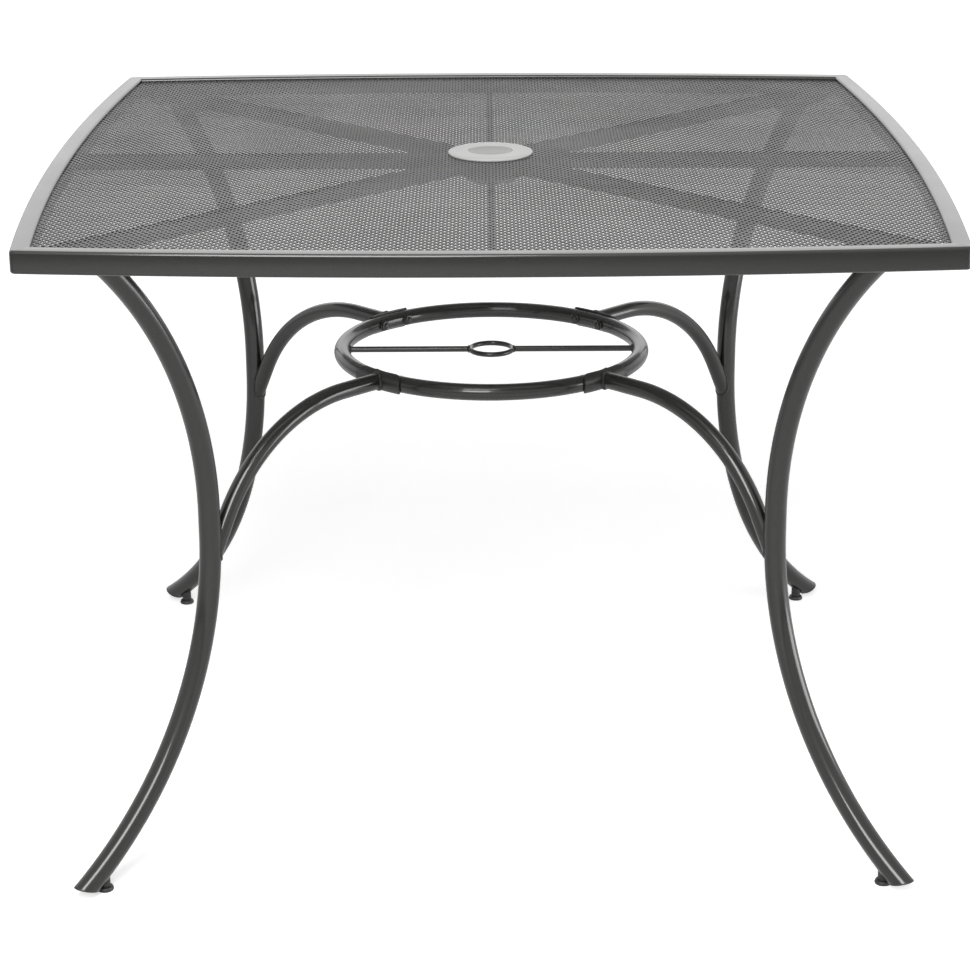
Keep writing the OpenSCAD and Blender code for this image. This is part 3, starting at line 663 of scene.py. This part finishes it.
class TABLE_OT_mesh_top(bpy.types.Operator):
    """Makes the expanded metal with its true small diamonds, a quarter of the top at a time"""
    bl_idname = "table.mesh_top"
    bl_label = "Expanded metal"

    def knuckle(self, top):
        """One knuckle and its four half strands, leaning like a slit and stretched sheet."""
        quarter_x, quarter_y = top.diamond_width / 4, top.diamond_length / 4
        slant = math.hypot(top.diamond_width, top.diamond_length) / top.diamond_length
        half = top.strand_width / 2 * slant
        side = top.knuckle_width / 2
        tip = half * top.diamond_length / top.diamond_width
        lean = top.strand_lean
        flat = [(side, 0.0, -lean), (0.0, tip, 0.0), (-side, 0.0, lean), (0.0, -tip, 0.0)]
        arms = []
        for sx, sy in ((1, 1), (-1, 1), (-1, -1), (1, -1)):
            right = (sx * quarter_x + half, sy * quarter_y, -lean)
            left = (sx * quarter_x - half, sy * quarter_y, lean)
            arms.append((right, left) if sy > 0 else (left, right))
        work = bmesh.new()
        sheets = []
        for level in (top.mesh_thickness / 2, -top.mesh_thickness / 2):
            spots = [work.verts.new((x, y, z + level)) for x, y, z in flat]
            ends = [[work.verts.new((x, y, z + level)) for x, y, z in pair] for pair in arms]
            sheets.append((spots, ends))
        # Each arm starts on the knuckle's edge between two of its points
        roots = [(0, 1), (1, 2), (2, 3), (3, 0)]
        for way, (spots, ends) in zip((1, -1), sheets):
            work.faces.new(spots[::way])
            for (a, b), (first, last) in zip(roots, ends):
                work.faces.new([spots[a], first, last, spots[b]][::way])
        (top_spots, top_ends), (low_spots, low_ends) = sheets
        for (a, b), high, low in zip(roots, top_ends, low_ends):
            work.faces.new([top_spots[a], low_spots[a], low[0], high[0]])
            work.faces.new([high[1], low[1], low_spots[b], top_spots[b]])
        return plain(work)

    def execute(self, context):
        top = context.scene.table_top
        side_radius, centre = bow_arc(top)
        tree = diamond_tree()
        reach = top.side / 2 + top.bow
        tuck = top.diamond_length / 3  # how far the outermost knuckles may reach under the rails
        hole_room, sag = 0.003, 0.0002
        for quarter, (right, back) in QUARTERS.items():
            mesh = tree.apply(
                self.knuckle(top), width=top.diamond_width, length=top.diamond_length,
                rim_radius=side_radius - top.rail_width + tuck, rim_centre=centre,
                hole=top.sleeve / 2 + hole_room, right=float(right), back=float(back),
                columns=int(reach / top.diamond_width) + 1, rows=int(reach / top.diamond_length) + 1,
                level=top.top_height - top.mesh_drop - top.mesh_thickness / 2 - sag)
            work = bmesh.new()
            work.from_mesh(mesh)
            bmesh.ops.remove_doubles(work, verts=work.verts, dist=1e-5)
            bmesh.ops.holes_fill(work, edges=[e for e in work.edges if e.is_boundary], sides=4)
            link(plain(work), "expanded_metal_" + quarter, "mesh", "mesh_top")
        return {"FINISHED"}


class TABLE_OT_tubes(bpy.types.Operator):
    """Bends the legs, the braces, the hoop and the guide ring, and closes the legs with their end caps"""
    bl_idname = "table.tubes"
    bl_label = "Legs, braces and hoop"

    def leg_line(self, tubes):
        """A leg's line from past its foot to past its top, both cut off later."""
        low_turn, up_turn = 62, 54
        low_centre = (tubes.leg_reach + tubes.leg_low_bend, tubes.leg_low)
        up_centre = (tubes.leg_reach + tubes.leg_up_bend, tubes.leg_up)
        return (arc(low_centre, tubes.leg_low_bend, 180 + low_turn, 180, steps=84)
                + arc(up_centre, tubes.leg_up_bend, 180, 180 - up_turn, steps=74))

    def cut(self, mesh, *planes):
        """The mesh with everything on the outer side of each plane taken off and closed."""
        work = bmesh.new()
        work.from_mesh(mesh)
        for spot, outer in planes:
            geom = work.verts[:] + work.edges[:] + work.faces[:]
            done = bmesh.ops.bisect_plane(work, geom=geom, plane_co=spot, plane_no=outer, clear_outer=True)
            edges = [e for e in done["geom_cut"] if isinstance(e, bmesh.types.BMEdge)]
            bmesh.ops.holes_fill(work, edges=edges, sides=0)
        return work

    def execute(self, context):
        tubes = context.scene.table_tubes
        tree = tube_tree()
        leg = tree.apply(path(self.leg_line(tubes)), radius=tubes.leg / 2, sides=48)
        low_outer = tubes.leg_low_bend + tubes.leg / 2
        end_angle = math.asin((tubes.leg_low - tubes.leg_end) / low_outer)
        end_reach = tubes.leg_reach + tubes.leg_low_bend - low_outer * math.cos(end_angle)
        slope = math.radians(tubes.leg_end_slope)
        cut_normal = Vector((-math.sin(slope), 0.0, math.cos(slope)))
        cut_spot = Vector((end_reach, 0.0, tubes.leg_end))
        shaped = self.cut(leg, (cut_spot, -cut_normal), (Vector((0, 0, tubes.leg_top)), Vector((0, 0, 1))))
        cap = self.cut(leg, (cut_spot - cut_normal * tubes.cap, -cut_normal), (cut_spot, cut_normal))
        rim = [e for e in cap.edges if all(abs((v.co - cut_spot).dot(cut_normal) + tubes.cap) < 1e-6
                                           for v in e.verts)]
        bmesh.ops.bevel(cap, geom=rim, offset=0.0009, segments=3, affect="EDGES", profile=0.5)
        link_round(CORNERS, (to_mesh(shaped), "leg_tube_", "frame", "leg_"),
                   (to_mesh(cap), "leg_end_rim_", "black_plastic", "leg_end_cap_"))
        sink = 0.002  # how far a brace's end goes into the hoop
        start = Vector((tubes.hoop + tubes.hoop_tube / 2 - sink, 0.0, tubes.hoop_height))
        brace = tree.apply(path([start] + brace_line(tubes, 60)), radius=tubes.hoop_tube / 2, sides=40)
        link_round(CORNERS, (brace, "brace_tube_", "frame", "brace_"))
        ring = tree.apply(circle(tubes.hoop, tubes.hoop_height, 180), radius=tubes.hoop_tube / 2, sides=40)
        link(ring, "hoop_tube", "frame", "hoop_ring")
        wire = tree.apply(circle(tubes.guide / 2, tubes.hoop_height, 72), radius=tubes.guide_wire / 2, sides=24)
        link(wire, "guide_ring_wire", "frame", "pole_guide_ring")
        return {"FINISHED"}


class TABLE_OT_saddles(bpy.types.Operator):
    """Makes the curved saddle sheets with rounded corners"""
    bl_idname = "table.saddles"
    bl_label = "Saddles"

    def execute(self, context):
        tubes = context.scene.table_tubes
        fittings = context.scene.table_fittings
        gap, bevel, sharp = 0.00005, 0.0004, 1.0
        inner = tubes.hoop_tube / 2 + gap
        outer = tubes.hoop_tube / 2 + fittings.saddle_sheet
        reach = fittings.saddle_length / 2
        corner = fittings.saddle_corner
        wrap = math.radians(fittings.saddle_wrap)
        wide, tall = 48, 36
        work = bmesh.new()
        loops = []
        for i in range(wide + 1):
            along = -reach + 2 * reach * i / wide
            past = max(0.0, abs(along) - (reach - corner))
            short = corner - math.sqrt(max(0.0, corner ** 2 - past ** 2))
            limit = wrap - short / outer
            turn = along / (tubes.hoop + outer)
            rows = []
            for level in (outer, inner):
                row = []
                for k in range(tall + 1):
                    a = -limit + 2 * limit * k / tall
                    radius = tubes.hoop + level * math.cos(a)
                    row.append(work.verts.new((radius * math.cos(turn), radius * math.sin(turn),
                                               tubes.hoop_height + level * math.sin(a))))
                rows.append(row)
            loops.append(rows[0] + rows[1][::-1])
        loft(work, loops)
        for loop in (loops[0], loops[-1]):
            for k in range(tall):
                work.faces.new([loop[k], loop[k + 1], loop[-k - 2], loop[-k - 1]])
        bmesh.ops.recalc_face_normals(work, faces=work.faces)
        edge = [e for e in work.edges if e.calc_face_angle(0.0) > sharp]
        bmesh.ops.bevel(work, geom=edge, offset=bevel, segments=2, affect="EDGES", profile=0.5)
        link_round(CORNERS, (to_mesh(work, crease=40.0), "saddle_sheet_", "saddle", "saddle_"))
        return {"FINISHED"}


class TABLE_OT_welds(bpy.types.Operator):
    """Lays a rippled bead where the braces meet the legs and saddles, and where the cross rods end"""
    bl_idname = "table.welds"
    bl_label = "Welds"

    def meeting(self, line, radius, reach, steps):
        """Where the skin of a tube along a flat line comes within reach() of the other piece."""
        spots = []
        for k in range(steps):
            a = 2 * math.pi * k / steps
            last = None
            for here, after in zip(line, line[1:]):
                tangent = (after - here).normalized()
                up = Vector((-tangent.z, 0.0, tangent.x))
                skin = here + (up * math.cos(a) + Vector((0, 1, 0)) * math.sin(a)) * radius
                gap = reach(skin)
                if last is not None and gap <= 0.0:
                    part = last[1] / (last[1] - gap)
                    spots.append(last[0].lerp(skin, part))
                    break
                last = (skin, gap)
        return spots

    def execute(self, context):
        tubes = context.scene.table_tubes
        tree = weld_tree()
        radius = tubes.hoop_tube / 2
        low_centre = Vector((tubes.leg_reach + tubes.leg_low_bend, 0.0, tubes.leg_low))
        fine, tries = 0.0005, 160  # spacing and number of the points that are tried on a level line

        def to_leg(spot):
            if spot.z >= tubes.leg_low:
                return math.hypot(spot.x - tubes.leg_reach, spot.y) - tubes.leg / 2
            flat = math.hypot(spot.x - low_centre.x, spot.z - low_centre.z) - tubes.leg_low_bend
            return math.hypot(flat, spot.y) - tubes.leg / 2

        def to_ring(ring, wire):
            def gap(spot):
                flat = math.hypot(spot.x, spot.y) - ring
                return math.hypot(flat, spot.z - tubes.hoop_height) - wire
            return gap

        def level(start, way):
            return [Vector((start + way * fine * i, 0.0, tubes.hoop_height)) for i in range(tries)]

        saddle, rod = radius + context.scene.table_fittings.saddle_sheet, tubes.rod / 2
        at_leg = self.meeting(brace_line(tubes, 400), radius, to_leg, steps=48)
        at_saddle = self.meeting(level(brace_start(tubes), -1), radius, to_ring(tubes.hoop, saddle), steps=48)
        at_hoop = self.meeting(level(0.10, 1), rod, to_ring(tubes.hoop, radius), steps=24)
        at_guide = self.meeting(level(0.06, -1), rod, to_ring(tubes.guide / 2, tubes.guide_wire / 2), steps=24)
        ripple = 0.75  # step from bead to bead as a share of the bead's size
        # Each weld's line, its turn round the table and its size as a share of the full bead
        beads = [bead for turn in CORNERS.values() for bead in ((at_leg, turn, 0.75), (at_saddle, turn, 1.0))]
        beads += [bead for turn in (0, 180) for bead in ((at_hoop, turn, 0.8), (at_guide, turn, 0.7))]
        work = bmesh.new()
        for seed, (line, turn, share) in enumerate(beads):
            size = tubes.weld * share
            mesh = tree.apply(path([turned(turn) @ s for s in line], True), radius=size, step=size * ripple,
                              seed=seed)
            work.from_mesh(mesh)
            bpy.data.meshes.remove(mesh)
        link(plain(work), "weld_beads", "saddle")
        return {"FINISHED"}


class TABLE_OT_fasteners(bpy.types.Operator):
    """Makes the domed nuts on the hoop"""
    bl_idname = "table.fasteners"
    bl_label = "Domed nuts"

    def domed_nut(self, fittings):
        """A domed nut that points down from its seat at the origin."""
        flange, flats = fittings.nut_flange / 2, fittings.nut_flats / 2
        edge, lip, plate, neck = 0.0003, 0.0008, 0.0015, flats * 1.13
        hexagon, middle = 0.0026, 0.0022
        dome_low, dome_foot, rise, rings = 0.0025, 0.003, 0.003, 7
        work = bmesh.new()
        lathe(work, [(0.0, 0.0), (flange - edge, 0.0), (flange, -edge), (flange, -lip), (neck, -plate), (0.0, -plate)],
              steps=32)
        body = bmesh.new()
        point = flats / math.cos(math.pi / 6)
        bmesh.ops.create_cone(body, segments=6, radius1=point, radius2=point, depth=hexagon, cap_ends=True)
        bmesh.ops.translate(body, vec=(0, 0, -middle), verts=body.verts)
        bmesh.ops.bevel(body, geom=body.edges[:], offset=edge, segments=2, affect="EDGES", profile=0.5)
        work.from_mesh(plain(body))
        base = flats - edge
        ball = (base ** 2 + rise ** 2) / (2 * rise)
        turns = [math.asin(base / ball) * (1 - i / rings) for i in range(rings)]
        dome = [(ball * math.sin(a), ball - dome_foot - rise - ball * math.cos(a)) for a in turns]
        lathe(work, [(0.0, -dome_low), (base, -dome_low)] + dome + [(0.0, -dome_foot - rise)], steps=28)
        return to_mesh(work, crease=30.0)

    def execute(self, context):
        fittings = context.scene.table_fittings
        nuts = nut_tree().apply(self.domed_nut(fittings), seat=fittings.nut_seat, lean=math.pi / 2,
                                spread=math.radians(fittings.nut_spread), level=context.scene.table_tubes.hoop_height)
        link(nuts, "domed_nuts", "dark_nut", "saddle_cap_nuts")
        return {"FINISHED"}


class TABLE_OT_flange(bpy.types.Operator):
    """Makes the flange and its plug"""
    bl_idname = "table.flange"
    bl_label = "Flange and plug"

    def execute(self, context):
        fittings = context.scene.table_fittings
        top, rim = fittings.flange_top, fittings.flange / 2
        bore, cap = fittings.bore / 2, fittings.plug / 2
        seat, sleeve, recess, skirt, wall = cap + 0.0003, 0.028, 0.0233, 0.023, 0.0015
        sleeve_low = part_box("parasol_flange")[0].z
        under, ledge, recess_low, skirt_low = top - 0.0036, top - 0.0024, top - 0.0127, top - 0.0124
        undercut, edge, slope = 0.0002, 0.0014, 0.0042
        outline = [
            (bore, sleeve_low), (sleeve, sleeve_low), (sleeve, under), (rim - undercut, under), (rim, top - edge),
            (rim - slope, top), (seat, top), (seat, ledge), (recess, ledge), (recess, recess_low), (bore, recess_low)]
        radii = [0.0004, 0.0006, 0.0, 0.0004, 0.0012, 0.0028, 0.0006, 0.0, 0.0, 0.0, 0.0004]
        work = bmesh.new()
        lathe(work, rounded(outline, radii, steps=5), steps=144, closed=True)
        link(to_mesh(work, crease=40.0), "flange_ring", "flange", "parasol_flange")
        # Inwards from the cap's edge and down from the flange's top: the cap is dished inside a raised rim
        dish = [(cap, 0.0011), (0.0042, 0.0010), (0.0034, 0.0005), (0.0008, 0.0004), (0.0, 0.0009)]
        plug = [(cap - inset, top - drop) for inset, drop in dish] + [
            (cap, ledge), (skirt, ledge), (skirt, skirt_low), (skirt - wall, skirt_low), (skirt - wall, ledge),
            (0.0, ledge)]
        work = bmesh.new()
        lathe(work, plug, steps=144)
        link(to_mesh(work, crease=50.0), "plug_cap", "plug", "parasol_plug", body="plug")
        return {"FINISHED"}


class TABLE_OT_feet(bpy.types.Operator):
    """Makes the levelling feet with rounded rims"""
    bl_idname = "table.feet"
    bl_label = "Feet"

    def execute(self, context):
        fittings = context.scene.table_fittings
        pad, high = fittings.pad / 2, fittings.pad_height
        low_taper, high_taper, widest, inner, neck = 0.0006, 0.0012, 0.0022, 0.005, 0.0042
        outline = [(pad - low_taper, 0.0), (pad, widest), (pad - high_taper, high), (inner, high)]
        rim = rounded(outline, [0.0004, 0.0008, 0.0008, 0.0])[:-1]
        work = bmesh.new()
        lathe(work, [(0.0, 0.0)] + rim + [(neck, high), (0.0, high)], steps=64)
        foot = to_mesh(work, crease=40.0)
        for corner, turn in CORNERS.items():
            copy = foot.copy()
            copy.transform(turned(turn) @ Matrix.Translation((fittings.foot_reach, 0.0, 0.0)))
            link(copy, "foot_disc_" + corner, "black_plastic", "foot_pad_" + corner, body="foot_" + corner)
        return {"FINISHED"}


class TABLE_PT_panel(bpy.types.Panel):
    """Lists the table's operators"""
    bl_idname = "TABLE_PT_panel"
    bl_label = "Garden table"
    bl_space_type = "VIEW_3D"
    bl_region_type = "UI"
    bl_category = "Table"

    def draw(self, context):
        for operator in OPERATORS:
            self.layout.operator(operator.bl_idname)


SETTINGS = {"table_top": TopSizes, "table_tubes": TubeSizes, "table_fittings": FittingSizes,
            "table_finishes": Finishes, "table_stage": StageSettings}
OPERATORS = [TABLE_OT_stage, TABLE_OT_paint, TABLE_OT_rails, TABLE_OT_mesh_top, TABLE_OT_tubes, TABLE_OT_saddles,
             TABLE_OT_welds, TABLE_OT_fasteners, TABLE_OT_flange, TABLE_OT_feet]


def register():
    for group in (*SETTINGS.values(), *OPERATORS, TABLE_PT_panel):
        bpy.utils.register_class(group)
    for name, group in SETTINGS.items():
        setattr(bpy.types.Scene, name, bpy.props.PointerProperty(type=group))


def unregister():
    for name in SETTINGS:
        delattr(bpy.types.Scene, name)
    for group in reversed((*SETTINGS.values(), *OPERATORS, TABLE_PT_panel)):
        bpy.utils.unregister_class(group)


def main():
    register()
    for operator in OPERATORS:
        getattr(bpy.ops.table, operator.bl_idname.split(".")[1])()


if __name__ == "__main__":
    main()
